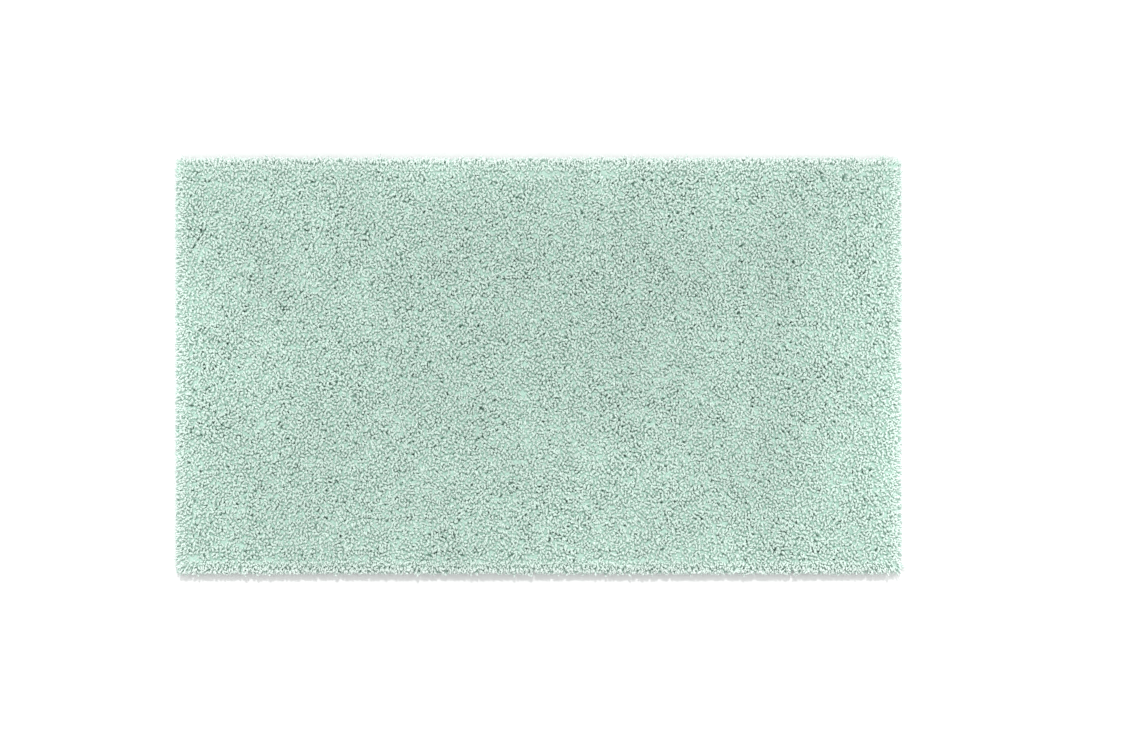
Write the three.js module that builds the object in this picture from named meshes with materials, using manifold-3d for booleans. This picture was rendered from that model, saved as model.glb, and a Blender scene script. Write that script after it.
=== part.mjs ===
// A cut-pile bath mat: rows of twisted yarn tufted through a woven backing, a latex coat
// that locks the yarn and grips the floor, and a fabric tape sewn round the hem.
//
// Units are millimetres. X runs along the mat, Y across it, and +Z is up. The origin is
// the middle of the underside, where the mat rests on the floor.

import * as THREE from 'three';
import { mergeVertices } from 'three/addons/utils/BufferGeometryUtils.js';
import Module from 'manifold-3d';

// ---- Driving dimensions --------------------------------------------------------------

const MAT_LENGTH = 864; // over the yarn tips, a nominal 34 in
const MAT_WIDTH = 495; // over the yarn tips, a nominal 19.5 in
const MAT_HEIGHT = 20;
const PILE_OVERHANG = 8; // how far the yarn leans out past the hem, all round
const PILE_ROOT_INSET = 3.5; // the outermost roots stand this far inside the hem

const LATEX_THICKNESS = 1.5;
const BACKING_THICKNESS = 0.5;

const ROW_GAUGE = 4.7625; // 3/16 in from one tufted row to the next
const ROWS_PER_STRIP = 4;
const STRIP_COUNT = 25;
const GAP = 0.3; // clearance between pieces that were cut from one shape

const TAPE_THICKNESS = 0.5;
const TAPE_UNDER_WIDTH = 18; // the wide leg, under the mat
const TAPE_OVER_WIDTH = 3; // the narrow leg, on top of the backing
const TAPE_UNDERSIDE = 0.25; // the hem clears the floor by one thread

const THREAD_WIDTH = 0.6;
const THREAD_HEIGHT = 0.25;
const OUTER_SEAM_INSET = 2;
const INNER_SEAM_INSET = 15.65;

const LABEL_WIDTH = 32;
const LABEL_THICKNESS = 0.25;
const LABEL_TUCK_INSET = 11; // the label's sewn end, hidden between tape and latex
const LABEL_STEP_RUN = 2; // the slope from the tuck down to the latex
const LABEL_FREE_INSET = 64; // the free end

const SIDE_FLAT = 0.5; // the upright band at the pile's widest height
const SIDE_FACETS = 5; // in each rounded half of the pile's side

// ---- Sizes worked out from them --------------------------------------------------------

const HEM_LENGTH = MAT_LENGTH - 2 * PILE_OVERHANG;
const HEM_WIDTH = MAT_WIDTH - 2 * PILE_OVERHANG;
const BACKING_TOP = LATEX_THICKNESS + BACKING_THICKNESS;
const TAPE_TOP = BACKING_TOP + TAPE_THICKNESS;
const TAPE_FLOOR_SIDE_TOP = TAPE_UNDERSIDE + TAPE_THICKNESS;
const CORE_LENGTH = HEM_LENGTH - 2 * TAPE_THICKNESS;
const CORE_WIDTH = HEM_WIDTH - 2 * TAPE_THICKNESS;
const STRIP_WIDTH = ROW_GAUGE * ROWS_PER_STRIP;

// ---- Materials ---------------------------------------------------------------------------

const pileMaterial = new THREE.MeshStandardMaterial({ color: 0xb8d1c4, roughness: 0.95, metalness: 0 });
const backingMaterial = new THREE.MeshStandardMaterial({ color: 0xd9ddd4, roughness: 0.9, metalness: 0 });
const latexMaterial = new THREE.MeshStandardMaterial({ color: 0xe6e3d8, roughness: 0.6, metalness: 0 });
const tapeMaterial = new THREE.MeshStandardMaterial({ color: 0xb9cfc4, roughness: 0.9, metalness: 0 });
const threadMaterial = new THREE.MeshStandardMaterial({ color: 0xc4d8cd, roughness: 0.7, metalness: 0 });
const labelMaterial = new THREE.MeshStandardMaterial({ color: 0xf2f1ec, roughness: 0.5, metalness: 0 });

// ---- Joining and cutting -----------------------------------------------------------------

const wasm = await Module();
wasm.setup();

function toSolid(geometry) {
  const bare = geometry.clone();
  bare.deleteAttribute('normal');
  bare.deleteAttribute('uv');
  const merged = mergeVertices(bare);
  const mesh = new wasm.Mesh({
    numProp: 3,
    vertProperties: new Float32Array(merged.attributes.position.array),
    triVerts: new Uint32Array(merged.index.array),
  });
  return new wasm.Manifold(mesh);
}

function toGeometry(solid) {
  const mesh = solid.getMesh();
  const geometry = new THREE.BufferGeometry();
  geometry.setAttribute('position', new THREE.BufferAttribute(mesh.vertProperties, 3));
  geometry.setIndex(new THREE.BufferAttribute(mesh.triVerts, 1));
  geometry.computeVertexNormals();
  return geometry;
}

// ---- Shapes ------------------------------------------------------------------------------

// A box given by its lowest and highest corners.
function boxBetween(low, high) {
  const geometry = new THREE.BoxGeometry(high[0] - low[0], high[1] - low[1], high[2] - low[2]);
  geometry.translate((low[0] + high[0]) / 2, (low[1] + high[1]) / 2, (low[2] + high[2]) / 2);
  return geometry;
}

// A box centred on the Z axis in plan, between two heights.
function slab(length, width, bottom, top) {
  return boxBetween([-length / 2, -width / 2, bottom], [length / 2, width / 2, top]);
}

function rectangleShape(length, width) {
  const shape = new THREE.Shape();
  shape.moveTo(-length / 2, -width / 2);
  shape.lineTo(length / 2, -width / 2);
  shape.lineTo(length / 2, width / 2);
  shape.lineTo(-length / 2, width / 2);
  shape.closePath();
  return shape;
}

// A bar along X whose section is drawn as (distance in from the hem, height). Each end is
// cut back as far as the section lies from the hem, so four bars meet in mitred corners.
function mitredBar(section, hemRun, endGap) {
  const shape = new THREE.Shape(section.map(([inset, height]) => new THREE.Vector2(inset, height)));
  const geometry = new THREE.ExtrudeGeometry(shape, { depth: 1, bevelEnabled: false });
  const position = geometry.attributes.position;
  for (let i = 0; i < position.count; i += 1) {
    const inset = position.getX(i);
    const height = position.getY(i);
    const end = position.getZ(i) > 0.5 ? 1 : -1;
    position.setXYZ(i, end * (hemRun / 2 - inset - endGap), inset, height);
  }
  return geometry;
}

// ---- The four sides of the hem -------------------------------------------------------------

// Each side's bar is made along the front edge and turned about Z to its own edge.
const sides = [
  { name: 'front', turn: 0, run: HEM_LENGTH, reach: HEM_WIDTH / 2 },
  { name: 'right', turn: Math.PI / 2, run: HEM_WIDTH, reach: HEM_LENGTH / 2 },
  { name: 'back', turn: Math.PI, run: HEM_LENGTH, reach: HEM_WIDTH / 2 },
  { name: 'left', turn: -Math.PI / 2, run: HEM_WIDTH, reach: HEM_LENGTH / 2 },
];

function placeOnSide(mesh, side) {
  mesh.geometry.translate(0, -side.reach, 0);
  mesh.rotation.z = side.turn;
  return mesh;
}

// ---- Sub-parts -----------------------------------------------------------------------------

const mat = new THREE.Group();
mat.name = 'bath_mat';

function addMesh(name, geometry, material) {
  const mesh = new THREE.Mesh(geometry, material);
  mesh.name = name;
  mat.add(mesh);
  return mesh;
}

// The woven sheet that the yarn is tufted through.
function addBacking() {
  const sheet = slab(CORE_LENGTH, CORE_WIDTH, LATEX_THICKNESS, BACKING_TOP);
  addMesh('primary_backing', sheet, backingMaterial);
}

// The satin label's path as (distance in from the hem, height): tucked flat over the tape,
// then stepped down past the tape's edge to lie flush in the latex.
function labelPath(clearance) {
  const tuckBottom = TAPE_FLOOR_SIDE_TOP;
  const tuckTop = tuckBottom + LABEL_THICKNESS + clearance;
  const stepStart = TAPE_UNDER_WIDTH + GAP;
  const stepEnd = stepStart + LABEL_STEP_RUN;
  const freeTop = LABEL_THICKNESS + clearance;
  return [
    [LABEL_TUCK_INSET - clearance, tuckBottom],
    [stepStart, tuckBottom],
    [stepEnd, 0],
    [LABEL_FREE_INSET + clearance, 0],
    [LABEL_FREE_INSET + clearance, freeTop],
    [stepEnd + clearance, freeTop],
    [stepStart + clearance, tuckTop],
    [LABEL_TUCK_INSET - clearance, tuckTop],
  ];
}

// A strip across the mat's back edge, with its section in the Y-Z plane.
function backEdgeStrip(path, width) {
  const shape = new THREE.Shape(path.map(([inset, height]) => new THREE.Vector2(inset, height)));
  const geometry = new THREE.ExtrudeGeometry(shape, { depth: width, bevelEnabled: false });
  const turn = new THREE.Matrix4().makeBasis(
    new THREE.Vector3(0, -1, 0),
    new THREE.Vector3(0, 0, 1),
    new THREE.Vector3(-1, 0, 0),
  );
  geometry.applyMatrix4(turn);
  geometry.translate(width / 2, HEM_WIDTH / 2, 0);
  return geometry;
}

// A full-thickness sheet, stepped up round its edge for the tape, with a dent for the label.
function addLatex() {
  const margin = 2 * (TAPE_UNDER_WIDTH + GAP);
  const bed = slab(HEM_LENGTH - margin, HEM_WIDTH - margin, 0, LATEX_THICKNESS);
  const edge = slab(CORE_LENGTH, CORE_WIDTH, TAPE_FLOOR_SIDE_TOP, LATEX_THICKNESS);
  const dent = backEdgeStrip(labelPath(GAP), LABEL_WIDTH + 2 * GAP);
  const latex = toSolid(bed).add(toSolid(edge)).subtract(toSolid(dent));
  addMesh('latex_backing', toGeometry(latex), latexMaterial);
}

function addLabel() {
  const ribbon = backEdgeStrip(labelPath(0), LABEL_WIDTH);
  addMesh('care_label', ribbon, labelMaterial);
}

// The tape folds round the edge: wide leg below, narrow leg above.
function addTapes() {
  const section = [
    [0, TAPE_UNDERSIDE],
    [TAPE_UNDER_WIDTH, TAPE_UNDERSIDE],
    [TAPE_UNDER_WIDTH, TAPE_FLOOR_SIDE_TOP],
    [TAPE_THICKNESS, TAPE_FLOOR_SIDE_TOP],
    [TAPE_THICKNESS, BACKING_TOP],
    [TAPE_OVER_WIDTH, BACKING_TOP],
    [TAPE_OVER_WIDTH, TAPE_TOP],
    [0, TAPE_TOP],
  ];
  for (const side of sides) {
    const tape = mitredBar(section, side.run, GAP / 2);
    placeOnSide(addMesh(`hem_tape_${side.name}`, tape, tapeMaterial), side);
  }
}

// One line of thread lying flat on a face of the hem, from mitre to mitre.
function addThread(name, side, inset, bottom) {
  const section = [
    [inset - THREAD_WIDTH / 2, bottom],
    [inset + THREAD_WIDTH / 2, bottom],
    [inset + THREAD_WIDTH / 2, bottom + THREAD_HEIGHT],
    [inset - THREAD_WIDTH / 2, bottom + THREAD_HEIGHT],
  ];
  const thread = mitredBar(section, side.run, GAP / 2);
  placeOnSide(addMesh(`${name}_${side.name}`, thread, threadMaterial), side);
}

// Lockstitch: a needle thread on top and a bobbin thread below, in two seams a side.
function addSeams() {
  for (const side of sides) {
    addThread('outer_needle_thread', side, OUTER_SEAM_INSET, TAPE_TOP);
    addThread('outer_bobbin_thread', side, OUTER_SEAM_INSET, 0);
    addThread('inner_needle_thread', side, INNER_SEAM_INSET, BACKING_TOP);
    addThread('inner_bobbin_thread', side, INNER_SEAM_INSET, 0);
  }
}

// The outer shape of all the yarn: it spreads from its roots, hangs over the hem and
// rounds off to the top, so its side is half an ellipse.
function pileEnvelope() {
  const spread = PILE_OVERHANG + PILE_ROOT_INSET;
  const rise = (MAT_HEIGHT - BACKING_TOP - SIDE_FLAT) / 2;
  const roots = rectangleShape(MAT_LENGTH - 2 * spread, MAT_WIDTH - 2 * spread);
  const geometry = new THREE.ExtrudeGeometry(roots, {
    depth: SIDE_FLAT,
    bevelEnabled: true,
    bevelThickness: rise,
    bevelSize: spread,
    bevelSegments: SIDE_FACETS,
  });
  geometry.translate(0, 0, BACKING_TOP + rise);
  return toSolid(geometry);
}

// A rectangular frame that follows the hem between two insets, from the floor up to top.
function frameBelow(top, outerInset, innerInset) {
  const outer = slab(HEM_LENGTH - 2 * outerInset, HEM_WIDTH - 2 * outerInset, 0, top);
  const inner = slab(HEM_LENGTH - 2 * innerInset, HEM_WIDTH - 2 * innerInset, -MAT_HEIGHT, MAT_HEIGHT);
  return toSolid(outer).subtract(toSolid(inner));
}

// The room that the yarn leaves for the tape's top leg and the needle threads.
function hemClearance() {
  const rimTop = TAPE_TOP + THREAD_HEIGHT + GAP;
  const grooveTop = BACKING_TOP + THREAD_HEIGHT + GAP;
  const grooveHalf = THREAD_WIDTH / 2 + GAP;
  const rim = frameBelow(rimTop, -PILE_OVERHANG, TAPE_OVER_WIDTH + GAP);
  const groove = frameBelow(grooveTop, INNER_SEAM_INSET - grooveHalf, INNER_SEAM_INSET + grooveHalf);
  return rim.add(groove);
}

// The yarn stands in strips of neighbouring rows. The first and last reach out over the hem.
function addPile() {
  const yarn = pileEnvelope().subtract(hemClearance());
  for (let i = 0; i < STRIP_COUNT; i += 1) {
    const front = (i - STRIP_COUNT / 2) * STRIP_WIDTH;
    const low = i === 0 ? -MAT_WIDTH : front + GAP / 2;
    const high = i === STRIP_COUNT - 1 ? MAT_WIDTH : front + STRIP_WIDTH - GAP / 2;
    const cutter = boxBetween([-MAT_LENGTH, low, 0], [MAT_LENGTH, high, 2 * MAT_HEIGHT]);
    const strip = yarn.intersect(toSolid(cutter));
    const number = String(i + 1).padStart(2, '0');
    addMesh(`pile_rows_${number}`, toGeometry(strip), pileMaterial);
  }
}

addBacking();
addLatex();
addLabel();
addTapes();
addSeams();
addPile();

export default mat;
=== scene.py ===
"""A cut-pile bath mat around its CAD frame: single yarn ends, coats, tapes and stitches."""

import math

import bpy
import numpy as np
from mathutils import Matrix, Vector


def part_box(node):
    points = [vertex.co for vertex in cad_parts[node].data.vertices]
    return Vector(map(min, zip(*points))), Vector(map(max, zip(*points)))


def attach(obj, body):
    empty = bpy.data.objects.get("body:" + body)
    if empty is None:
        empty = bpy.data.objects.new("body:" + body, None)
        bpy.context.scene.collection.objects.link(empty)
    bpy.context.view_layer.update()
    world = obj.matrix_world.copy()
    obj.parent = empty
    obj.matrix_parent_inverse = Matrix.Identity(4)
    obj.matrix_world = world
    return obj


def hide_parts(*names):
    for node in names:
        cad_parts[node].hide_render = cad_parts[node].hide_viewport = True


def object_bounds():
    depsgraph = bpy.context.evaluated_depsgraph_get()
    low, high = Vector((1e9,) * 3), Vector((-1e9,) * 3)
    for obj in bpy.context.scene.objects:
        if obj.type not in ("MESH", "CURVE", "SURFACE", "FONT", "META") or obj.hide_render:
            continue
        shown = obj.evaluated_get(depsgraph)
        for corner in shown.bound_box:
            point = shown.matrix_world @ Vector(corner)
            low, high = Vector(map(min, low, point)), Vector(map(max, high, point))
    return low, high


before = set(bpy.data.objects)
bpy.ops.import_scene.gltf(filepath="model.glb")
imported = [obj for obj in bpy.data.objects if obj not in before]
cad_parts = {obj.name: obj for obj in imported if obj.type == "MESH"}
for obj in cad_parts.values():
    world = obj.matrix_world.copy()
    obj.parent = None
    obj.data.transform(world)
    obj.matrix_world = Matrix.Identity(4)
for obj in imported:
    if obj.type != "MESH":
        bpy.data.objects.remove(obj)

CAD_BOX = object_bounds()
BODY = "root"
MM = 0.001
FULL_TURN = 2 * math.pi
rng = np.random.default_rng(20)

# ---- Places, all from the frame ----------------------------------------------------------

PILE_NODES = sorted(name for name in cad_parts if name.startswith("pile_rows_"))
SIDES = ("front", "right", "back", "left")

BACKING_LOW, BACKING_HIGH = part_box("primary_backing")
TAPE_LOW, TAPE_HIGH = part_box("hem_tape_right")
LATEX_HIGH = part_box("latex_backing")[1]
LABEL_LOW, LABEL_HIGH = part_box("care_label")

HEM_X = TAPE_HIGH.x  # half the length of the hemmed sheet
HEM_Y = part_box("hem_tape_back")[1].y  # half its width
PILE_X = CAD_BOX[1][0]  # half the length over the yarn tips
PILE_TOP = CAD_BOX[1][2]
PILE_FLOOR = BACKING_HIGH.z  # the top of the backing, where the yarn comes out
OVERHANG = PILE_X - HEM_X

# ---- The yarn ----------------------------------------------------------------------------

GAUGE = 4.7625 * MM  # 3/16 in from row to row
ROWS_PER_STRIP = 4
ROWS = ROWS_PER_STRIP * len(PILE_NODES)
STITCH = 4.6 * MM  # along a row; each stitch stands up as two yarn ends
ROOT_INSET = 3.5 * MM  # from the hem to the outermost roots
ROOT_HEIGHT = PILE_FLOOR + 0.2 * MM

YARN_RADIUS = 1.45 * MM
YARN_FLATNESS = 0.9  # its height as a share of its width
YARN_TWIST = 4.8  # radians over the modelled length
YARN_SIDES = 6
YARN_RINGS = 6
YARN_SIZE_SPREAD = 0.08  # from yarn to yarn
YARN_SLUB = 0.07  # and along one yarn
PLIES = 3
PLY_GROOVE = 0.14  # how far the plies bulge, as a share of the radius
TIP_ROUNDNESS = 0.7

# ---- How the tufts stand -----------------------------------------------------------------

TUFT_SCATTER_X = 1.5 * MM  # how far tufts stray along their rows
TUFT_SCATTER_Y = 1.9 * MM  # and across them
TUFT_SPACING = 4.7 * MM  # tufts closer than this push each other apart
TUFT_SPLIT = (1.2 * MM, 2.4 * MM)  # how far its two ends lie either side of a tuft's middle
CROWD_STEPS = 5
CROWD_PUSH = 0.25  # the share of an overlap that one push undoes

TIP_HEIGHT = 17.5 * MM
TIP_HEIGHT_SPREAD = 0.65 * MM
TIP_DROOP = 1.2 * MM
TIP_REACH = (1.0 * MM, 5.4 * MM)  # how far an end lies over at its tip
TIP_BOW = 0.9 * MM
LIE_ALONG = 0.5  # how much ends lie along the rows; 1 would be as much as across them
NAP = 0.35  # how much a whole patch of the pile leans one way
NAP_PATCH = 95 * MM

HIDDEN_DEPTH = 7 * MM  # inside the pile, a yarn is modelled this far down from its top
HIDDEN_PULL = 0.15  # and starts this share of the way towards its root
SHOWN_TO_ROOT = 10 * MM  # this near the hem, it is modelled down to its root
PARTLY_SHOWN = 14 * MM  # and between the two, ever less of it is
BEND_START = 0.55  # the share of its modelled height where it starts to bend
HEAD_START = 0.2  # where the bend ends, as a share of its reach
HEAD_RISE = 0.12  # and how far that lies above its top

# ---- How the edge fans out ---------------------------------------------------------------

SHOULDER = 11.5 * MM  # the pile's side rounds off over this distance
WIDEST_HEIGHT = 11.0 * MM
CORNER_REACH = 6 * MM
EDGE_REACH = 5 * MM  # the outermost tufts lean out, and that dies away over this distance
EDGE_LEAN = 0.6
EDGE_ORDER = 0.3  # how much less at random the outermost tufts lie

FRINGE_PITCH = 2.0 * MM
FRINGE_THINNESS = 0.8  # loosened by the edge, the outermost yarn is thinner
FRINGE_LAYERS = 6
FRINGE_LAYER_STEP = 1.2 * MM
FRINGE_SCATTER = 0.9 * MM
FRINGE_SWAY = 0.22  # sideways, for each length outwards
FRINGE_DROOPING = 0.38  # this share of the fringe hangs beside the hem, the rest stands above
FRINGE_DROP = 8.3 * MM  # the lowest tips lie this far below the widest line
FRINGE_TUCK = 2 * MM  # and this far inside it
FRINGE_SPAN = 1.4 * SHOULDER  # the innermost tips lie this far inside it
FRINGE_LAG = 0.8 * MM  # how far short of their place tips fall, on average
FRINGE_HEIGHT_SPREAD = 0.7 * MM
FRINGE_LOWEST = 2.2 * MM
FRINGE_LEAST_REACH = 2 * MM
FRINGE_LEAST_CLIMB = 8 * MM  # even a drooping end climbs towards this height first
FRINGE_TILT = (-35, 20, 80)  # degrees at the tip: drooping, at the widest line, on top
FRINGE_TILT_SPREAD = 8
FRINGE_HEAD = (3 * MM, 6 * MM)  # the length of its tip that points that way
FRINGE_SWING = 0.6  # radians to either side, for the ends on the shoulder

# ---- The yarn packed below the tips ------------------------------------------------------

CORE_CELL = 2.4 * MM
CORE_DEPTH = 2.5 * MM  # below the tips the yarns stand packed together
CORE_EDGE_DEPTH = 1.5 * MM  # this much deeper at the hem
CORE_EDGE_REACH = 6 * MM
CORE_OUTSET = 3.0 * MM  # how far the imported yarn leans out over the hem
CORE_ROUNDING = 1.5 * MM
CORE_LEAST = 0.3 * MM
CORE_CLEARANCE = 0.4 * MM  # between it and the tape
CORE_LUMP = 0.5 * MM
CORE_LUMP_SIZE = 22 * MM
CORE_ROUGHNESS = 0.6 * MM
HOLE_SHARE = 0.08
HOLE_DEPTH = 6 * MM
HOLE_CROWDING = 0.9  # how much more gaps some patches have than others
HOLE_PATCH = 45 * MM
HOLE_INSET = 16 * MM  # no gap opens nearer the widest line than this

# ---- How the yarn is coloured ------------------------------------------------------------

# painted shade: yarn low in the pile is coloured darker and more saturated than at its tips
DEEP_PAINTED_SHADE = (0.29, 0.58, 0.46)
TIP_YARN = (0.565, 0.70, 0.632)
# painted light: towards the pile's rim the yarn is mixed towards this near-white, for light through
# the edge yarn
RIM_PAINTED_LIGHT_COLOUR = (0.86, 0.88, 0.865)
RIM_PAINTED_LIGHT = 0.65
RIM_PAINTED_LIGHT_REACH = 8 * MM
# painted light: the yarn is coloured lighter towards the edges and, a little, towards the two short
# sides
EDGE_PAINTED_LIGHT = 0.11
EDGE_PAINTED_LIGHT_REACH = 70 * MM
END_PAINTED_LIGHT = 0.04  # towards the two short sides
YARN_DYE = 0.035  # how much the dye varies from yarn to yarn
FIBRE_DYE = 0.07  # along and around one yarn
PLY_PAINTED_SHADE = 0.05  # painted shade, darker in the furrows of its plies than on their crowns
SMALL_CLOUD = 0.035
SMALL_CLOUD_SIZE = 50 * MM
BIG_CLOUD = 0.05
BIG_CLOUD_SIZE = 130 * MM
# painted shade: the packed yarn below the tips is coloured a little darker still
CORE_PAINTED_SHADE = 0.97
CORE_HEIGHT_SHARE = 0.70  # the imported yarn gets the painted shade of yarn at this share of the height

# ---- Hem, latex and label ----------------------------------------------------------------

TAPE_THICKNESS = 0.5 * MM
TAPE_UNDER = 18 * MM  # how far the tape reaches in under the mat
TAPE_OVER = 3 * MM  # and above the backing
MITRE_GAP = 0.15 * MM
HEM_STITCH = 3.2 * MM
HEM_STITCH_GAP = 0.3 * MM
SEAMS = {"outer": 2.0 * MM, "inner": 15.65 * MM}  # how far in from the hem each one runs
PUCKER = 0.05 * MM
PUCKER_REACH = 1.5 * MM
THREAD_TWIST = 30.0  # radians over one stitch

LATEX_STEP = TAPE_UNDER + 0.3 * MM  # inside the tapes the latex comes down to the floor
LATEX_STEP_WIDTH = 0.1 * MM
LATEX_FURROW = 0.5 * MM  # the height of its underside between two rows
LATEX_OVER_LABEL = 0.35 * MM

LABEL_THICKNESS = 0.12 * MM

# ---- Studio ------------------------------------------------------------------------------

SENSOR_WIDTH = 36  # in millimetres, as Blender counts it
CAMERA_DISTANCE = 3.2
VIEW_WIDTH = 1.3494  # how much of the floor the camera takes in, at the height of the mat
MIDDLE_OF_VIEW = (0.0356, -0.0006)
FLOOR_REACH = 12.0
SKY_STRENGTH = 0.92


def smooth_noise(x, y, wavelength, seed):
    """Soft random hills and dips between about -1 and 1, with the given spacing."""
    local = np.random.default_rng(seed)
    reach = 1.2 * PILE_X  # the whole mat and a little more
    size = 2 + int(2 * reach / wavelength)
    grid = local.uniform(-1, 1, (size + 2, size + 2))
    u = np.clip((x + reach) / wavelength, 0, size)
    v = np.clip((y + reach) / wavelength, 0, size)
    i = u.astype(int)
    j = v.astype(int)
    fu = (u - i) ** 2 * (3 - 2 * (u - i))
    fv = (v - j) ** 2 * (3 - 2 * (v - j))
    low = grid[j, i] * (1 - fu) + grid[j, i + 1] * fu
    high = grid[j + 1, i] * (1 - fu) + grid[j + 1, i + 1] * fu
    return low * (1 - fv) + high * fv


def inset_from_hem(x, y):
    """How far inside the nearest hem a point is; negative outside."""
    return np.minimum(HEM_X - np.abs(x), HEM_Y - np.abs(y))


def inset_from_widest(x, y):
    """How far inside the pile's widest line a point is; negative outside."""
    return inset_from_hem(x, y) + OVERHANG


# ---- Meshes ------------------------------------------------------------------------------


def add_piece(name, points, faces, material, flat=(), shares=None, uv=None):
    """A mesh object from its points and arrays of faces; those in flat are shaded flat."""
    mesh = bpy.data.meshes.new(name)
    mesh.vertices.add(len(points))
    mesh.vertices.foreach_set("co", np.asarray(points, np.float32).ravel())
    every = [*faces, *flat]
    corners = np.concatenate([part.ravel() for part in every]).astype(np.int32)
    sizes = np.concatenate([np.full(len(part), part.shape[1]) for part in every])
    starts = np.concatenate([[0], np.cumsum(sizes)[:-1]]).astype(np.int32)
    mesh.loops.add(len(corners))
    mesh.loops.foreach_set("vertex_index", corners)
    mesh.polygons.add(len(sizes))
    mesh.polygons.foreach_set("loop_start", starts)
    smooth = np.arange(len(sizes)) < sum(len(part) for part in faces)
    mesh.polygons.foreach_set("use_smooth", smooth)
    mesh.update(calc_edges=True)
    for key, values in (shares or {}).items():
        layer = mesh.attributes.new(key, "FLOAT", "POINT")
        layer.data.foreach_set("value", np.asarray(values, np.float32))
    if uv is not None:
        layer = mesh.uv_layers.new(name="cloth")
        layer.data.foreach_set("uv", np.asarray(uv, np.float32)[corners].ravel())
    mesh.materials.append(material)
    piece = bpy.data.objects.new(name, mesh)
    bpy.context.scene.collection.objects.link(piece)
    return piece


def tubes(paths, across, half_wide, half_high, sides, twist=0.0, groove=0.0):
    """Closed tubes along many paths at once, each (rings, 3). across is the widthwise axis.

    twist turns the section along the tube, and groove presses a furrow between its plies.
    Returns the points, quads, tip triangles and foot caps; a tube's points run ring by ring,
    and the point of its rounded tip comes last.
    """
    count, rings, _ = paths.shape
    along = np.gradient(paths, axis=1)
    along /= np.linalg.norm(along, axis=-1, keepdims=True)
    across = across - (across * along).sum(-1, keepdims=True) * along
    across /= np.linalg.norm(across, axis=-1, keepdims=True)
    upward = np.cross(across, along)
    turn = np.arange(sides) * FULL_TURN / sides
    bulge = 1 + groove * np.cos(PLIES * turn)
    start = rng.uniform(0, FULL_TURN, (count, 1, 1))
    turned = turn + np.linspace(0, twist, rings)[:, None] + start
    wide = np.cos(turned) * bulge * half_wide[..., None]
    high = np.sin(turned) * bulge * half_high[..., None]
    sideways = wide[..., None] * across[:, :, None]
    upwards = high[..., None] * upward[:, :, None]
    shell = paths[:, :, None] + sideways + upwards
    tip = paths[:, -1] + along[:, -1] * half_high[:, -1, None] * TIP_ROUNDNESS
    points = np.concatenate([shell.reshape(count, rings * sides, 3), tip[:, None]], axis=1)
    each = rings * sides + 1
    here = np.arange(sides)
    after = (here + 1) % sides
    ring = (np.arange(rings - 1) * sides)[:, None]
    quads = np.stack([ring + here, ring + after, ring + sides + after, ring + sides + here], -1)
    last = (rings - 1) * sides
    caps = np.stack([last + here, last + after, np.full(sides, each - 1)], -1)
    base = (np.arange(count) * each)[:, None, None]
    return (
        points.reshape(-1, 3),
        (base + quads.reshape(1, -1, 4)).reshape(-1, 4),
        (base + caps[None]).reshape(-1, 3),
        (np.arange(count) * each)[:, None] + here[::-1],
    )


def slab_between(x, y, top, bottom):
    """A closed sheet over a grid, with top and bottom heights at each crossing.

    Returns the points, with the whole top first, the top and bottom quads, and the rim's.
    """
    columns = len(x)
    lines = len(y)
    flat_x, flat_y = np.meshgrid(x, y)
    upper = np.stack([flat_x, flat_y, top], -1).reshape(-1, 3)
    lower = np.stack([flat_x, flat_y, bottom], -1).reshape(-1, 3)
    index = np.arange(columns * lines).reshape(lines, columns)
    cell = np.stack([index[:-1, :-1], index[:-1, 1:], index[1:, 1:], index[1:, :-1]], -1)
    cell = cell.reshape(-1, 4)
    offset = columns * lines
    rim = np.concatenate([index[0, :], index[1:, -1], index[-1, -2::-1], index[-2:0:-1, 0]])
    following = np.roll(rim, -1)
    walls = np.stack([rim, rim + offset, following + offset, following], -1)
    return np.concatenate([upper, lower]), np.concatenate([cell, cell[:, ::-1] + offset]), walls


# ---- Materials ---------------------------------------------------------------------------


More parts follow.
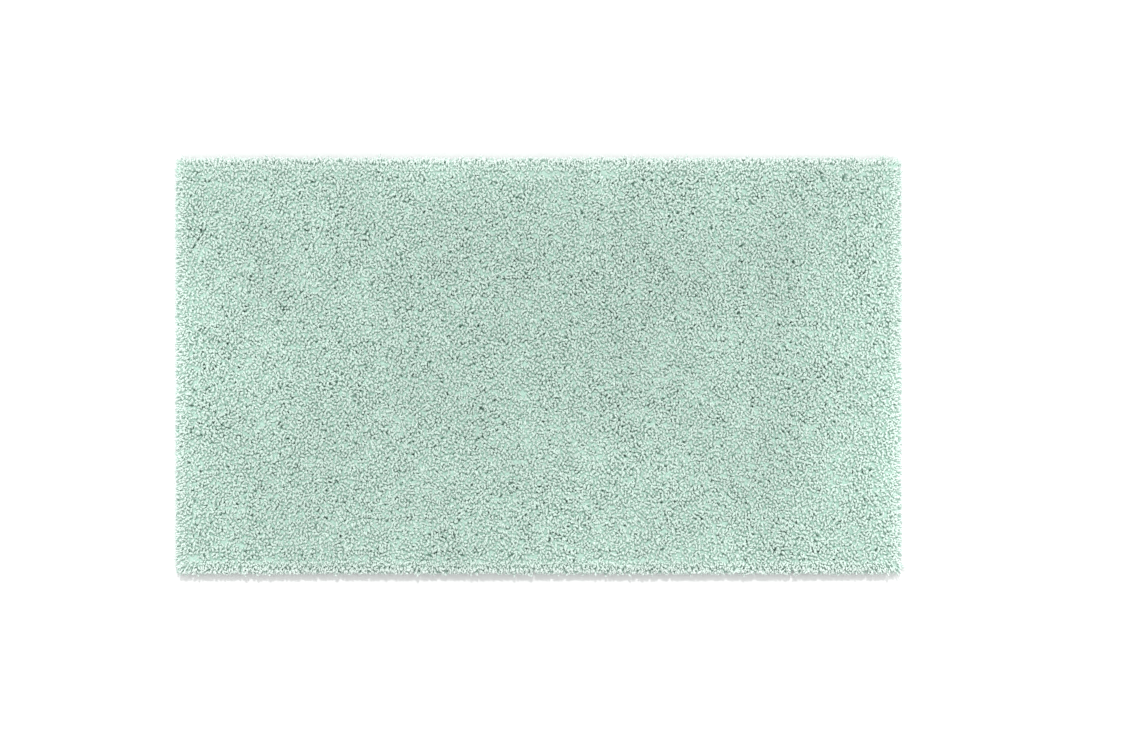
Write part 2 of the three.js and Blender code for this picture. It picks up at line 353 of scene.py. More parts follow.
class Surface:
    """A Principled material whose nodes are added by short calls."""

    def __init__(self, name, roughness, specular=0.25, sheen=0.0):
        self.material = bpy.data.materials.new(name)
        self.material.use_nodes = True
        self.tree = self.material.node_tree
        self.shader = self.tree.nodes["Principled BSDF"]
        self.shader.inputs["Roughness"].default_value = roughness
        self.shader.inputs["Specular IOR Level"].default_value = specular
        self.shader.inputs["Sheen Weight"].default_value = sheen
        self.shader.inputs["Sheen Roughness"].default_value = 0.6

    def node(self, kind, **values):
        """A new node with its inputs and its settings given by name."""
        made = self.tree.nodes.new(kind)
        for key, value in values.items():
            if key in made.inputs:
                made.inputs[key].default_value = value
            else:
                setattr(made, key, value)
        return made

    def link(self, source, target):
        self.tree.links.new(source, target)

    def share(self, name):
        """One of the numbers that add_piece stored on the mesh's points."""
        return self.node("ShaderNodeAttribute", attribute_name=name).outputs["Fac"]

    def product(self, first, second):
        """The first value times the second, which may be a plain number."""
        made = self.node("ShaderNodeMath", operation="MULTIPLY")
        self.link(first, made.inputs[0])
        if isinstance(second, float):
            made.inputs[1].default_value = second
        else:
            self.link(second, made.inputs[1])
        return made.outputs[0]

    def sine(self, angle):
        made = self.node("ShaderNodeMath", operation="SINE")
        self.link(angle, made.inputs[0])
        return made.outputs[0]

    def as_share(self, value, low, high):
        """Where a value lies between low and high, as a number from 0 to 1."""
        made = self.node("ShaderNodeMapRange")
        made.inputs["From Min"].default_value = low
        made.inputs["From Max"].default_value = high
        self.link(value, made.inputs["Value"])
        return made.outputs["Result"]

    def blend_colours(self, factor, first, second):
        """From the first colour to the second; each is three numbers or another node's output."""
        made = self.node("ShaderNodeMix", data_type="RGBA")
        self.link(factor, made.inputs[0])
        colour_inputs = (made.inputs[6], made.inputs[7])
        for socket, colour in zip(colour_inputs, (first, second)):
            if isinstance(colour, tuple):
                socket.default_value = (*colour, 1)
            else:
                self.link(colour, socket)
        return made.outputs[2]

    def scaled(self, colour, factor):
        made = self.node("ShaderNodeVectorMath", operation="SCALE")
        self.link(colour, made.inputs[0])
        self.link(factor, made.inputs["Scale"])
        return made.outputs[0]

    def bump(self, height, distance):
        made = self.node("ShaderNodeBump", Distance=distance, Strength=1.0)
        self.link(height, made.inputs["Height"])
        self.link(made.outputs["Normal"], self.shader.inputs["Normal"])

    def colour(self, socket):
        self.link(socket, self.shader.inputs["Base Color"])


def yarn_material():
    """Soft spun yarn, a little uneven in its dye: painted shade darkens it deeper down the pile,
    and painted light pales it at the rim and lightens it towards the edges and ends.
    """
    surface = Surface("sage_yarn", roughness=0.95, specular=0.12, sheen=0.15)
    # painted shade: from the deep colour low in the pile to the tip colour at the top
    depth = surface.as_share(surface.share("height"), 0.35, 0.95)
    yarn = surface.blend_colours(depth, DEEP_PAINTED_SHADE, TIP_YARN)
    # painted light: paler at the pile's rim
    tint = surface.blend_colours(surface.share("pale"), yarn, RIM_PAINTED_LIGHT_COLOUR)
    # the shade share holds random dye, painted light towards the edges and ends, and painted shade
    # in the ply furrows
    surface.colour(surface.scaled(tint, surface.share("shade")))
    return surface.material


def weave_height(surface, pitches):
    """Threads crossing over and under, as a height from 0 to 1, from the cloth's own lengths."""
    place = surface.node("ShaderNodeUVMap", uv_map="cloth").outputs[0]
    parts = surface.node("ShaderNodeSeparateXYZ")
    surface.link(place, parts.inputs[0])
    waves = []
    for axis, pitch in zip("XY", pitches):
        angle = surface.product(parts.outputs[axis], math.pi / pitch)
        waves.append(surface.sine(angle))
    return surface.as_share(surface.product(*waves), -1.0, 1.0)


def woven_material(name, shade_between_threads, light, pitches, relief, roughness=0.85):
    """A plain weave, with painted shade making it darker between its threads. pitches are the
    thread widths both ways.
    """
    surface = Surface(name, roughness=roughness, sheen=0.1)
    height = weave_height(surface, pitches)
    # painted shade: darker where the threads dip under their neighbours
    surface.colour(surface.blend_colours(height, shade_between_threads, light))
    surface.bump(height, relief)
    return surface.material


def latex_material():
    """A sprayed rubber coat: slightly mottled, with a fine pebbled skin."""
    dull = (0.70, 0.69, 0.62)
    clear = (0.80, 0.79, 0.73)
    over_yarn = (0.56, 0.68, 0.61)
    surface = Surface("latex", roughness=0.55, specular=0.4)
    place = surface.node("ShaderNodeTexCoord").outputs["Object"]
    cloud = surface.node("ShaderNodeTexNoise", Scale=60.0, Detail=4.0)
    pebble = surface.node("ShaderNodeTexNoise", Scale=900.0, Detail=2.0)
    surface.link(place, cloud.inputs["Vector"])
    surface.link(place, pebble.inputs["Vector"])
    rubber = surface.blend_colours(cloud.outputs["Fac"], dull, clear)
    surface.colour(surface.blend_colours(surface.share("stitch"), rubber, over_yarn))
    surface.bump(pebble.outputs["Fac"], 0.2 * MM)
    return surface.material


def thread_material():
    """Spun polyester: a tight twist whose furrows are painted in shade, as darker slanting bands.
    """
    # painted shade: the twist's furrows coloured darker than its crowns
    groove = (0.55, 0.66, 0.60)
    crown = (0.74, 0.84, 0.78)
    surface = Surface("sewing_thread", roughness=0.6, specular=0.35, sheen=0.1)
    band = surface.as_share(surface.sine(surface.share("ply")), -1.0, 1.0)
    surface.colour(surface.blend_colours(band, groove, crown))
    return surface.material


# ---- Pile --------------------------------------------------------------------------------


def crowd_apart(x, y):
    """Tufts in a crowded pile settle at even distances: close neighbours push apart."""
    for _ in range(CROWD_STEPS):
        push_x = np.zeros_like(x)
        push_y = np.zeros_like(y)
        for rows in range(-2, 3):
            for stitches in range(-2, 3):
                if rows == 0 and stitches == 0:
                    continue
                dx = x - np.roll(x, (rows, stitches), (0, 1))
                dy = y - np.roll(y, (rows, stitches), (0, 1))
                distance = np.hypot(dx, dy) + 1e-9
                overlap = np.maximum(TUFT_SPACING - distance, 0)
                push = overlap / distance * CROWD_PUSH
                push_x += dx * push
                push_y += dy * push
        x = x + np.clip(push_x, -MM, MM)
        y = y + np.clip(push_y, -MM, MM)
    return x, y


def pile_side_height(inside):
    """The height of the pile's rounded side, from the distance in from its widest line."""
    rise = TIP_HEIGHT - WIDEST_HEIGHT
    part = np.clip(1 - inside / SHOULDER, 0, 1)
    return WIDEST_HEIGHT + rise * np.sqrt(1 - part**2)


def outward(x, y):
    """The way out towards the nearest hem: its longer part is 1, so corners stay square."""
    out_x = np.sign(x) * np.exp(-(HEM_X - np.abs(x)) / CORNER_REACH)
    out_y = np.sign(y) * np.exp(-(HEM_Y - np.abs(y)) / CORNER_REACH)
    longer = np.maximum(np.abs(out_x), np.abs(out_y)) + 1e-9
    return out_x / longer, out_y / longer


def yarn_ends():
    """Where every yarn end is rooted, where the middle of its tip lies, and its row.

    The two ends of a stitch lie either side of their tuft's middle.
    """
    stitches = int((2 * HEM_X - 2 * ROOT_INSET) / STITCH)
    x = (np.arange(stitches) - (stitches - 1) / 2) * STITCH
    y = (np.arange(ROWS) - (ROWS - 1) / 2) * GAUGE
    tuft_x, tuft_y = np.meshgrid(x, y)
    middle_x = tuft_x + rng.normal(0, TUFT_SCATTER_X, tuft_x.shape)
    middle_y = tuft_y + rng.normal(0, TUFT_SCATTER_Y, tuft_y.shape)
    middle_x, middle_y = crowd_apart(middle_x, middle_y)
    turn = rng.uniform(0, FULL_TURN, tuft_x.shape)
    split = rng.uniform(*TUFT_SPLIT, tuft_x.shape)
    row = np.broadcast_to(np.arange(ROWS)[:, None], tuft_x.shape)
    ends = []
    for way in (-1, 1):
        root_x = tuft_x + way * STITCH / 4
        centre_x = middle_x + way * split * np.cos(turn)
        centre_y = middle_y + way * split * np.sin(turn)
        ends.append([values.ravel() for values in (root_x, tuft_y, centre_x, centre_y, row)])
    return [np.concatenate(both) for both in zip(*ends)]


def fringe_ends():
    """Extra ends round the edge, where the outermost stitches fan out over the hem.

    Returns their roots and how high each one lies: 0 beside the hem, 1 on the shoulder.
    """
    ends = []
    for layer in range(FRINGE_LAYERS):
        inset = ROOT_INSET + FRINGE_LAYER_STEP * layer
        half_x = HEM_X - inset
        half_y = HEM_Y - inset
        x = np.arange(-half_x, half_x, FRINGE_PITCH)
        y = np.arange(-half_y, half_y, FRINGE_PITCH)
        sides = (
            (x, np.full(len(x), half_y)),
            (x, np.full(len(x), -half_y)),
            (np.full(len(y), half_x), y),
            (np.full(len(y), -half_x), y),
        )
        for side_x, side_y in sides:
            rise = (layer + rng.uniform(0, 1, len(side_x))) / FRINGE_LAYERS
            ends.append(np.stack([side_x, side_y, rise]))
    root_x, root_y, rise = np.concatenate(ends, axis=1)
    root_x = root_x + rng.normal(0, FRINGE_SCATTER, len(root_x))
    root_y = root_y + rng.normal(0, FRINGE_SCATTER, len(root_y))
    return root_x, root_y, rise


def curve_through(p0, p1, p2, p3, rings):
    """Cubic curves with the given ends and handles, sampled ring by ring."""
    t = np.linspace(0, 1, rings)[None, :, None]
    parts = ((1 - t) ** 3, 3 * t * (1 - t) ** 2, 3 * t**2 * (1 - t), t**3)
    return sum(part * point[:, None] for part, point in zip(parts, (p0, p1, p2, p3)))


def tip_directions(root_x, root_y, edge):
    """The way each tip lies: at random, with a nap that drifts, and outwards at the edge."""
    out_x, out_y = outward(root_x, root_y)
    turn = rng.uniform(0, FULL_TURN, len(root_x))
    loose = 1 - EDGE_ORDER * edge
    nap_x = NAP * smooth_noise(root_x, root_y, NAP_PATCH, seed=1)
    nap_y = NAP * smooth_noise(root_x, root_y, NAP_PATCH, seed=2)
    dir_x = LIE_ALONG * np.cos(turn) * loose + nap_x + EDGE_LEAN * edge * out_x
    dir_y = np.sin(turn) * loose + nap_y + EDGE_LEAN * edge * out_y
    length = np.hypot(dir_x, dir_y) + 1e-9
    return dir_x / length, dir_y / length


def standing_paths(root_x, root_y, centre_x, centre_y):
    """Yarn that rises from its row, then bends over and lies across its neighbours."""
    count = len(root_x)
    inset = inset_from_hem(root_x, root_y)
    edge = np.exp(-(inset - ROOT_INSET) / EDGE_REACH)
    dir_x, dir_y = tip_directions(root_x, root_y, edge)
    reach = rng.uniform(*TIP_REACH, count)

    out_x, out_y = outward(root_x, root_y)
    spread = (OVERHANG - 0.5 * MM) * edge
    centre_x = centre_x + spread * out_x
    centre_y = centre_y + spread * out_y
    start_x = centre_x - dir_x * reach / 2
    start_y = centre_y - dir_y * reach / 2
    end_x = centre_x + dir_x * reach / 2
    end_y = centre_y + dir_y * reach / 2

    lift = rng.normal(0, TIP_HEIGHT_SPREAD, count)
    top = pile_side_height(inset_from_widest(centre_x, centre_y)) + lift
    top = np.minimum(top, PILE_TOP - YARN_RADIUS)
    droop = TIP_DROOP * rng.uniform(0, 1, count)
    low = pile_side_height(inset_from_widest(end_x, end_y)) + lift - droop
    low = np.minimum(low, top)

    shown = np.clip((PARTLY_SHOWN - inset) / (PARTLY_SHOWN - SHOWN_TO_ROOT), 0, 1)
    foot_x = start_x * (1 - HIDDEN_PULL) + root_x * HIDDEN_PULL
    foot_y = start_y * (1 - HIDDEN_PULL) + root_y * HIDDEN_PULL
    foot_z = top - HIDDEN_DEPTH
    p0 = np.stack([
        foot_x + (root_x - foot_x) * shown,
        foot_y + (root_y - foot_y) * shown,
        foot_z + (ROOT_HEIGHT - foot_z) * shown,
    ], -1)
    p1 = np.stack([start_x, start_y, p0[:, 2] + BEND_START * (top - p0[:, 2])], -1)
    bow = rng.normal(0, TIP_BOW, count)
    p2 = np.stack([
        start_x + HEAD_START * dir_x * reach - dir_y * bow,
        start_y + HEAD_START * dir_y * reach + dir_x * bow,
        top + HEAD_RISE * reach,
    ], -1)
    p3 = np.stack([end_x, end_y, low], -1)
    across = np.stack([-dir_y, dir_x, np.zeros(count)], -1)
    return curve_through(p0, p1, p2, p3, YARN_RINGS), across


def fanned_paths(root_x, root_y, rise):
    """Yarn at the edge: from drooping beside the hem (rise 0) to standing on the shoulder (1)."""
    count = len(root_x)
    out_x, out_y = outward(root_x, root_y)
    sway = rng.normal(0, FRINGE_SWAY, count)
    dir_x = out_x - sway * out_y
    dir_y = out_y + sway * out_x

    below = np.clip(1 - rise / FRINGE_DROOPING, 0, 1)  # 1 at the lowest, 0 from the widest up
    above = np.clip((rise - FRINGE_DROOPING) / (1 - FRINGE_DROOPING), 0, 1)
    inside = np.where(below > 0, FRINGE_TUCK * below**2, FRINGE_SPAN * above)
    inside = inside + rng.exponential(FRINGE_LAG, count)
    hanging = WIDEST_HEIGHT - FRINGE_DROP * below
    end_z = np.where(below > 0, hanging, pile_side_height(inside))
    end_z = end_z + rng.normal(0, FRINGE_HEIGHT_SPREAD, count)
    end_z = np.clip(end_z, FRINGE_LOWEST, PILE_TOP - YARN_RADIUS)
    reach = np.maximum(inset_from_widest(root_x, root_y) - inside, FRINGE_LEAST_REACH)
    end_x = root_x + reach * dir_x
    end_y = root_y + reach * dir_y

    tilt = np.interp(rise, (0, FRINGE_DROOPING, 1), FRINGE_TILT)
    tilt = np.radians(tilt + rng.normal(0, FRINGE_TILT_SPREAD, count))
    head = rng.uniform(*FRINGE_HEAD, count)
    swing = rng.normal(0, FRINGE_SWING, count) * (1 - below)
    head_x = dir_x * np.cos(swing) - dir_y * np.sin(swing)
    head_y = dir_y * np.cos(swing) + dir_x * np.sin(swing)
    heading = np.stack([head_x * np.cos(tilt), head_y * np.cos(tilt), np.sin(tilt)], -1)

    climb = np.maximum(end_z, FRINGE_LEAST_CLIMB) - PILE_FLOOR
    p0 = np.stack([root_x, root_y, np.full(count, ROOT_HEIGHT)], -1)
    p1 = np.stack([
        root_x + 0.15 * reach * dir_x,
        root_y + 0.15 * reach * dir_y,
        PILE_FLOOR + 0.6 * climb,
    ], -1)
    p3 = np.stack([end_x, end_y, end_z], -1)
    p2 = p3 - head[:, None] * heading
    across = np.stack([-dir_y, dir_x, np.zeros(count)], -1)
    return curve_through(p0, p1, p2, p3, YARN_RINGS), across


def painted_rim_light(x, y):
    """How much painted light pales the yarn at the rim, for light through the edge yarn; it fades
    away inwards from the pile's widest line.
    """
    inside = np.maximum(inset_from_widest(x, y), 0)
    return RIM_PAINTED_LIGHT * np.exp(-inside / RIM_PAINTED_LIGHT_REACH)


def yarn_tone_and_painted_light(x, y):
    """How light each yarn is: painted light makes it lighter towards the edges and ends, and it is
    cloudy over the whole mat.
    """
    near_edge = np.exp(-inset_from_hem(x, y) / EDGE_PAINTED_LIGHT_REACH)
    near_end = (x / PILE_X) ** 4
    dye = 1 + rng.normal(0, YARN_DYE, len(x))
    # painted light: lighter towards the edges and the two short ends
    dye += EDGE_PAINTED_LIGHT * near_edge + END_PAINTED_LIGHT * near_end
    dye += SMALL_CLOUD * smooth_noise(x, y, SMALL_CLOUD_SIZE, seed=3)
    dye += BIG_CLOUD * smooth_noise(x, y, BIG_CLOUD_SIZE, seed=8)
    return dye


def yarn_geometry(paths, across, thickness):
    """Tubes for the given yarn paths, with each point's share of height (for the painted shade),
    its painted rim paleness, and its shade: dye with painted light and painted ply shade.
    """
    count = len(paths)
    size = rng.normal(1, YARN_SIZE_SPREAD, count)[:, None]
    size = size * rng.normal(1, YARN_SLUB, (count, YARN_RINGS)) * thickness[:, None]
    profile = np.interp(np.linspace(0, 1, YARN_RINGS), (0, 0.4, 0.8, 1), (1.0, 1.0, 0.97, 0.8))
    half_wide = YARN_RADIUS * size * profile
    half_high = half_wide * YARN_FLATNESS
    across = np.broadcast_to(across[:, None], paths.shape)
    points, quads, caps, feet = tubes(
        paths, across, half_wide, half_high, YARN_SIDES, YARN_TWIST, PLY_GROOVE)

    turn = np.arange(YARN_SIDES) * FULL_TURN / YARN_SIDES
    # painted shade: the yarn is coloured darker in the furrows between its plies than on their
    # crowns
    crown = np.append(np.tile(np.cos(PLIES * turn), YARN_RINGS), 1)  # -1 in the furrows
    # dye holds the random dye and the painted light towards the edges and ends
    dye = yarn_tone_and_painted_light(paths[:, -1, 0], paths[:, -1, 1])
    fibre = rng.normal(0, FIBRE_DYE, len(points))
    shares = {
        "height": np.clip((points[:, 2] - PILE_FLOOR) / (TIP_HEIGHT - PILE_FLOOR), 0, 1),
        "shade": np.repeat(dye, len(crown)) * (1 + PLY_PAINTED_SHADE * np.tile(crown, count) + fibre),
        "pale": painted_rim_light(points[:, 0], points[:, 1]),
    }
    return points, quads, caps, feet, shares


def core_heights(x, y):
    """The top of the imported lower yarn: lumpy, with a few deep gaps, rounded down at the edge."""
    flat_x, flat_y = np.meshgrid(x, y)
    inside = inset_from_widest(flat_x, flat_y)
    lumps = CORE_LUMP * smooth_noise(flat_x, flat_y, CORE_LUMP_SIZE, seed=4)
    lumps = lumps + rng.normal(0, CORE_ROUGHNESS, flat_x.shape)
    crowding = 1 + HOLE_CROWDING * smooth_noise(flat_x, flat_y, HOLE_PATCH, seed=7)
    holes = HOLE_DEPTH * (rng.random(flat_x.shape) < HOLE_SHARE * crowding)
    rounded = 1 - np.exp(-(inside - (OVERHANG - CORE_OUTSET)) / CORE_ROUNDING)
    near_hem = np.exp(-np.maximum(inside - OVERHANG, 0) / CORE_EDGE_REACH)
    depth = CORE_DEPTH + CORE_EDGE_DEPTH * near_hem
    height = pile_side_height(inside) - depth + lumps - holes * (inside > HOLE_INSET)
    low = core_floor(flat_x, flat_y) + CORE_LEAST
    return low + (height - low) * np.clip(rounded, 0, 1)


def core_floor(x, y):
    """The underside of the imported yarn: on the backing, over the tape, then rising outwards."""
    inset = inset_from_hem(x, y)
    over_tape = TAPE_HIGH.z + CORE_CLEARANCE + 1.2 * np.maximum(2 * MM - inset, 0)
    return np.where(inset < TAPE_OVER + 0.6 * MM, over_tape, PILE_FLOOR)


def packed_core():
    """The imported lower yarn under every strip, as closed slabs that meet at the same heights."""
    strip_width = GAUGE * ROWS_PER_STRIP
    lines = round(strip_width / CORE_CELL)
    reach_x = HEM_X + CORE_OUTSET
    x = np.linspace(-reach_x, reach_x, round(2 * reach_x / CORE_CELL))
    y = (np.arange(lines * len(PILE_NODES) + 1) / lines - len(PILE_NODES) / 2) * strip_width
    y[0] = -HEM_Y - CORE_OUTSET
    y[-1] = HEM_Y + CORE_OUTSET
    heights = core_heights(x, y)
    floors = core_floor(*np.meshgrid(x, y))
    bands = [slice(number * lines, (number + 1) * lines + 1) for number in range(len(PILE_NODES))]
    return [slab_between(x, y[band], heights[band], floors[band]) for band in bands]


def add_yarns(name, node, paths, across, thickness, core, material):
    """One piece of yarn ends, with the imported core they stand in, if it has one."""
    points, quads, caps, feet, shares = yarn_geometry(paths, across, thickness)
    faces = [quads, caps, feet]
    flat = []
    if core is not None:
        core_points, core_quads, core_walls = core
        faces.append(core_quads + len(points))
        flat.append(core_walls + len(points))
        points = np.concatenate([points, core_points])
        # painted shade: the core is coloured like yarn partway down the pile and a little darker
        # still; painted light pales it at the rim
        every = np.ones(len(core_points))
        pale = painted_rim_light(core_points[:, 0], core_points[:, 1])
        shares = {
            "height": np.append(shares["height"], CORE_HEIGHT_SHARE * every),
            "shade": np.append(shares["shade"], CORE_PAINTED_SHADE * every),
            "pale": np.append(shares["pale"], pale),
        }
    piece = add_piece(name, points, faces, material, flat, shares)
    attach(piece, BODY)
    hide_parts(node)


def build_pile(material):
    """One piece for each CAD strip of rows, and one for the fringe along each long side.

    The fringe of the two short sides is part of the strips.
    """
    root_x, root_y, centre_x, centre_y, row = yarn_ends()
    paths, across = standing_paths(root_x, root_y, centre_x, centre_y)
    edge_x, edge_y, rise = fringe_ends()
    edge_paths, edge_across = fanned_paths(edge_x, edge_y, rise)
    along_side = HEM_Y - np.abs(edge_y) < HEM_X - np.abs(edge_x)
    edge_row = np.clip(np.round(edge_y / GAUGE + (ROWS - 1) / 2), 0, ROWS - 1)
    thickness = np.ones(len(row))
    edge_thickness = np.full(len(edge_row), FRINGE_THINNESS)
    strips = packed_core()
    for number, (node, core) in enumerate(zip(PILE_NODES, strips)):
        here = row // ROWS_PER_STRIP == number
        edge_here = (edge_row // ROWS_PER_STRIP == number) & ~along_side
        add_yarns(
            f"yarn_rows_{number + 1:02d}",
            node,
            np.concatenate([paths[here], edge_paths[edge_here]]),
            np.concatenate([across[here], edge_across[edge_here]]),
            np.concatenate([thickness[here], edge_thickness[edge_here]]),
            core,
            material,
        )
    for side, node, way in (("front", PILE_NODES[0], -1), ("back", PILE_NODES[-1], 1)):
        here = along_side & (np.sign(edge_y) == way)
        add_yarns(
            f"edge_yarns_{side}",
            node,
            edge_paths[here],
            edge_across[here],
            edge_thickness[here],
            None,
            material,
        )


# ---- Backing and latex -------------------------------------------------------------------


def build_backing(material):
    """The woven sheet, rippled a little by the tufting."""
    x = np.linspace(BACKING_LOW.x, BACKING_HIGH.x, 150)
    y = np.linspace(BACKING_LOW.y, BACKING_HIGH.y, 86)
    flat_x, flat_y = np.meshgrid(x, y)
    clearance = 0.05 * MM
    ripple = 0.04 * MM * smooth_noise(flat_x, flat_y, 12 * MM, seed=5)
    top = BACKING_HIGH.z - clearance + ripple
    bottom = BACKING_LOW.z + clearance + ripple
    points, quads, rim = slab_between(x, y, top, bottom)
    piece = add_piece("woven_backing", points, [quads], material, flat=[rim], uv=points[:, :2])
    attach(piece, BODY)
    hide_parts("primary_backing")


def latex_lines(inner, step, high):
    """Grid lines across the latex: those of its stitches, both sides of its step, its rim."""
    outer = np.array([step, step + LATEX_STEP_WIDTH, high])
    return np.concatenate([-outer[::-1], inner, outer])


def build_latex(material):
    """The latex coat: back stitches show through it as rows of short bumps."""
    step_x = HEM_X - LATEX_STEP
    step_y = HEM_Y - LATEX_STEP
    stitches = int(2 * step_x / STITCH)
    rows = int(step_y / GAUGE)
    stitch_x = (np.arange(1, stitches) - stitches / 2) * STITCH
    stitch_y = (np.arange(1, 4 * rows) - 2 * rows) * GAUGE / 2
    x = latex_lines(stitch_x, step_x, LATEX_HIGH.x)
    y = latex_lines(stitch_y, step_y, LATEX_HIGH.y)
    flat_x, flat_y = np.meshgrid(x, y)
    on_row = 0.5 + 0.5 * np.cos(FULL_TURN * flat_y / GAUGE)
    on_stitch = rng.uniform(0, 1, flat_x.shape)
    bump = on_row * (0.3 + 0.15 * on_stitch) * MM
    uneven = 0.05 * MM * (1 + smooth_noise(flat_x, flat_y, 9 * MM, seed=6))
    bottom = np.maximum(LATEX_FURROW - bump - uneven, 0)
    half_step = LATEX_STEP_WIDTH / 2
    outside = (np.abs(flat_x) > step_x + half_step) | (np.abs(flat_y) > step_y + half_step)
    on_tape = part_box("hem_tape_front")[0].z + TAPE_THICKNESS
    bottom = np.where(outside, on_tape, bottom)
    over_label = (np.abs(flat_x) < LABEL_HIGH.x + MM) & (flat_y > LABEL_LOW.y - MM)
    bottom = np.where(over_label & ~outside, LATEX_OVER_LABEL, bottom)
    top = np.full_like(bottom, LATEX_HIGH.z)
    points, quads, rim = slab_between(x, y, top, bottom)
    stitch = (on_row * (0.5 + 0.5 * on_stitch) * ~outside).ravel()
    shares = {"stitch": np.tile(stitch, 2)}
    piece = add_piece("latex_coat", points, [quads], material, [rim], shares)
    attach(piece, BODY)
    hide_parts("latex_backing")


# ---- Hem ---------------------------------------------------------------------------------


def side_frame(side):
    """The half run, the reach from the middle and the turn of one side of the hem."""
    turn = SIDES.index(side) * math.pi / 2
    if side in ("front", "back"):
        return HEM_X, HEM_Y, turn
    return HEM_Y, HEM_X, turn


def turned_to(side, x, y, z):
    """Points or directions given as for the front side, turned to face another one."""
    _, _, turn = side_frame(side)
    return np.stack([
        x * math.cos(turn) - y * math.sin(turn),
        x * math.sin(turn) + y * math.cos(turn),
        z,
    ], -1)


def on_side(along, inset, height, side):
    """Points given by how far along a side's hem they are, how far in from it and how high."""
    _, reach, _ = side_frame(side)
    return turned_to(side, along, inset - reach, height)


def tape_section():
    """The folded tape's middle line as (inset, height), and the way its face looks there."""
    half = TAPE_THICKNESS / 2
    low = TAPE_LOW.z + half
    high = TAPE_HIGH.z - half
    radius = (high - low) / 2
    under = np.linspace(TAPE_UNDER, radius + half, 12)
    fold = np.linspace(-math.pi / 2, math.pi / 2, 9)[1:]
    over = np.linspace(radius + half, TAPE_OVER, 4)[1:]
    below = np.ones(len(under))
    above = np.ones(len(over))
    inset = np.concatenate([under, radius + half - radius * np.cos(fold), over])
    height = np.concatenate([low * below, low + radius + radius * np.sin(fold), high * above])
    face_inset = np.concatenate([0 * below, -np.cos(fold), 0 * above])
    face_height = np.concatenate([-below, np.sin(fold), above])
    return inset, height, face_inset, face_height


def build_tape(side, material):
    """One side's binding tape, drawn in a little at every stitch."""
    half_run, _, _ = side_frame(side)
    inset, height, face_inset, face_height = tape_section()
    steps = int(2 * half_run / (HEM_STITCH / 2))
    share = np.linspace(-1, 1, steps)
    half = TAPE_THICKNESS / 2
    loops = []
    for facing in (1, -1):
        ins = inset + facing * half * face_inset
        hei = height + facing * half * face_height
        along = share[:, None] * (half_run - ins[None] - MITRE_GAP)
        pucker = PUCKER * np.cos(FULL_TURN * along / HEM_STITCH)
        near_seam = sum(np.exp(-(((ins - seam) / PUCKER_REACH) ** 2)) for seam in SEAMS.values())
        rise = hei[None] + pucker * near_seam[None]
        loops.append(on_side(along, np.broadcast_to(ins, along.shape), rise, side))
    ring = np.concatenate([loops[0], loops[1][:, ::-1]], axis=1)
    count = ring.shape[1]
    index = np.arange(steps * count).reshape(steps, count)
    nearby = np.roll(index, -1, axis=1)
    quads = np.stack([index[:-1], nearby[:-1], nearby[1:], index[1:]], -1).reshape(-1, 4)
    width = count // 2
    caps = []
    for end, order in ((0, 1), (steps - 1, -1)):
        outer = index[end, :width]
        inner = index[end, width:][::-1]
        cap = np.stack([outer[:-1], inner[:-1], inner[1:], outer[1:]], -1)
        caps.append(cap[:, ::order])
    ran = np.concatenate([[0], np.cumsum(np.hypot(np.diff(inset), np.diff(height)))])
    across = np.concatenate([ran, ran[::-1]])
    uv = np.stack([np.repeat(share * half_run, count), np.tile(across, steps)], -1)
    name = f"binding_tape_{side}"
    piece = add_piece(name, ring.reshape(-1, 3), [quads], material, flat=caps, uv=uv)
    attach(piece, BODY)
    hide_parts(f"hem_tape_{side}")


def build_seam(side, seam, layer, node, material):
    """One line of lockstitches: short rounded stitches that dip into the cloth at each end."""
    half_run, _, _ = side_frame(side)
    inset = SEAMS[seam]
    low, high = (corner.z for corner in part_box(node))
    room = half_run - inset - MITRE_GAP - HEM_STITCH_GAP
    count = int(2 * room / HEM_STITCH)
    centre = (np.arange(count) - (count - 1) / 2) * HEM_STITCH
    rings = 6
    sides = 6
    part = np.linspace(-1, 1, rings)
    along = centre[:, None] + part[None] * (HEM_STITCH - HEM_STITCH_GAP) / 2
    slant = 0.12 * MM * part[None] + rng.normal(0, 0.03 * MM, (count, 1))
    upward = 1 if layer == "needle" else -1
    surface = low if layer == "needle" else high
    middle = surface + upward * (0.11 * (1 - part**2) - 0.03) * MM
    paths = on_side(along, inset + slant, np.broadcast_to(middle, along.shape), side)
    across = np.broadcast_to(turned_to(side, 0.0, 1.0, 0.0), paths.shape)
    swell = np.sqrt(1 - 0.75 * part**2)
    half_wide = np.broadcast_to(0.28 * MM * swell, along.shape)
    half_high = np.broadcast_to(0.13 * MM * swell, along.shape)
    points, quads, caps, feet = tubes(paths, across, half_wide, half_high, sides)
    around = np.tile(np.arange(sides) * FULL_TURN / sides, rings)
    run = np.repeat(np.linspace(0, 1, rings), sides)
    ply = np.append(2 * around + THREAD_TWIST * run, THREAD_TWIST)
    shares = {"ply": np.tile(ply, count)}
    name = f"{seam}_{layer}_stitches_{side}"
    piece = add_piece(name, points, [quads, caps, feet], material, shares=shares)
    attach(piece, BODY)
    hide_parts(node)


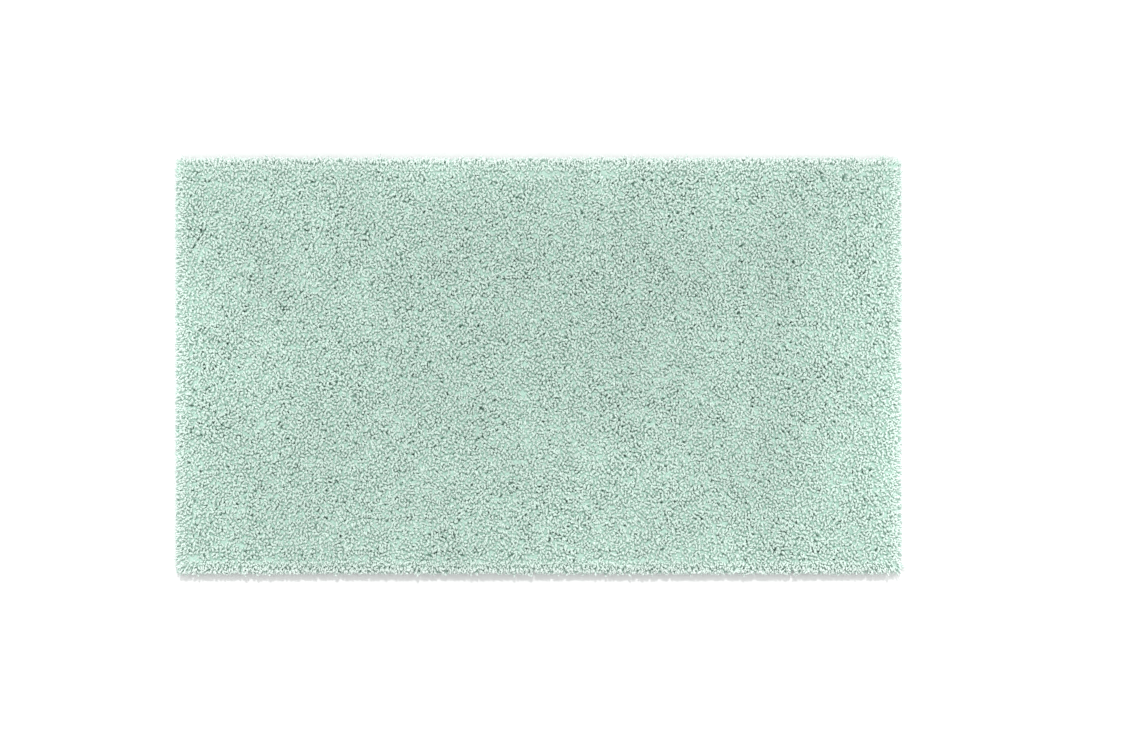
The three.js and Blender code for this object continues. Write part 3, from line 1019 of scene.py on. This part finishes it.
def build_label(material):
    """The blank satin label: tucked in under the tape, then lying along the latex."""
    half = (LABEL_HIGH.x - LABEL_LOW.x) / 2
    tuck = HEM_Y - LABEL_HIGH.y
    free = HEM_Y - LABEL_LOW.y
    bend = 2 * MM  # over this length it comes down from the tape's top to the floor
    bend_line = LATEX_STEP + np.array([0, bend / 2, bend])
    inset = np.concatenate([
        [tuck, 13 * MM, 15 * MM, 17 * MM],
        bend_line,
        np.linspace(LATEX_STEP + 2 * bend, free, 22),
    ])
    tucked = TAPE_LOW.z + TAPE_THICKNESS + 0.06 * MM
    laid = 0.04 * MM
    down = np.clip((inset - LATEX_STEP) / bend, 0, 1)
    bottom_line = tucked + (laid - tucked) * down * down * (3 - 2 * down)
    x = np.linspace(-half, half, 17)
    y = HEM_Y - inset[::-1]
    curl = 0.06 * MM * (1 + np.cos(math.pi * x / half))[None] * down[::-1, None]
    bottom = bottom_line[::-1, None] + curl
    points, quads, rim = slab_between(x, y, bottom + LABEL_THICKNESS, bottom)
    piece = add_piece("satin_label", points, [quads], material, flat=[rim], uv=points[:, :2])
    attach(piece, BODY)
    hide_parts("care_label")


# ---- Studio ------------------------------------------------------------------------------


def build_studio():
    """A pale floor under a white sky, a soft sun from behind and a softbox at each end."""
    floor = add_piece(
        "floor",
        np.array([(-1, -1, 0), (1, -1, 0), (1, 1, 0), (-1, 1, 0)]) * FLOOR_REACH,
        [np.array([[0, 1, 2, 3]])],
        floor_material(),
    )
    world = bpy.data.worlds.new("studio")
    bpy.context.scene.world = world
    world.use_nodes = True
    background = world.node_tree.nodes["Background"]
    background.inputs["Color"].default_value = (1, 1, 1, 1)
    background.inputs["Strength"].default_value = SKY_STRENGTH
    add_key_light(elevation=55, width=4.5, energy=1.45)
    add_softbox("left_softbox", position=(-0.75, 0, 0.45), size=0.5, power=0.9)
    add_softbox("right_softbox", position=(0.78, 0, 0.45), size=0.5, power=1.3)
    bpy.context.scene.view_settings.view_transform = "Standard"


def floor_material():
    surface = Surface("pale_floor", roughness=0.9, specular=0.1)
    surface.shader.inputs["Base Color"].default_value = (0.8, 0.8, 0.8, 1)
    return surface.material


def add_key_light(elevation, width, energy):
    """A distant soft light from behind the mat (+Y), with its elevation and width in degrees."""
    light = bpy.data.lights.new("key_light", "SUN")
    light.angle = math.radians(width)
    light.energy = energy
    lamp = bpy.data.objects.new("key_light", light)
    lamp.rotation_euler = (-math.radians(90 - elevation), 0, 0)
    bpy.context.scene.collection.objects.link(lamp)


def add_softbox(name, position, size, power):
    """A square light that faces the middle of the mat and isn't seen by the camera."""
    light = bpy.data.lights.new(name, "AREA")
    light.shape = "SQUARE"
    light.size = size
    light.energy = power
    lamp = bpy.data.objects.new(name, light)
    lamp.location = position
    lamp.visible_camera = False
    lamp.rotation_euler = (-Vector(position)).to_track_quat("-Z", "Y").to_euler()
    bpy.context.scene.collection.objects.link(lamp)


def build_camera():
    """Straight above, through a long lens, with the mat a little left of the middle."""
    camera = bpy.data.cameras.new("camera")
    camera.sensor_width = SENSOR_WIDTH
    camera.lens = SENSOR_WIDTH * CAMERA_DISTANCE / VIEW_WIDTH
    stand = bpy.data.objects.new("camera", camera)
    stand.location = (*MIDDLE_OF_VIEW, CAMERA_DISTANCE + WIDEST_HEIGHT)
    bpy.context.scene.collection.objects.link(stand)
    bpy.context.scene.camera = stand


# ---- The whole mat -----------------------------------------------------------------------

backing_weave = woven_material(
    "backing_weave",
    shade_between_threads=(0.55, 0.57, 0.52),
    light=(0.78, 0.80, 0.76),
    pitches=(1.1 * MM, 0.9 * MM),
    relief=0.1 * MM,
)
tape_weave = woven_material(
    "tape_weave",
    shade_between_threads=(0.36, 0.47, 0.41),
    light=(0.52, 0.64, 0.57),
    pitches=(0.45 * MM, 0.6 * MM),
    relief=0.12 * MM,
)
label_satin = woven_material(
    "label_satin",
    shade_between_threads=(0.80, 0.80, 0.78),
    light=(0.90, 0.90, 0.88),
    pitches=(0.3 * MM, 0.25 * MM),
    relief=0.03 * MM,
    roughness=0.4,
)
stitching = thread_material()

build_camera()
build_studio()
build_pile(yarn_material())
build_backing(backing_weave)
build_latex(latex_material())
for side in SIDES:
    build_tape(side, tape_weave)
for side in SIDES:
    for seam in SEAMS:
        for layer in ("needle", "bobbin"):
            build_seam(side, seam, layer, f"{seam}_{layer}_thread_{side}", stitching)
build_label(label_satin)
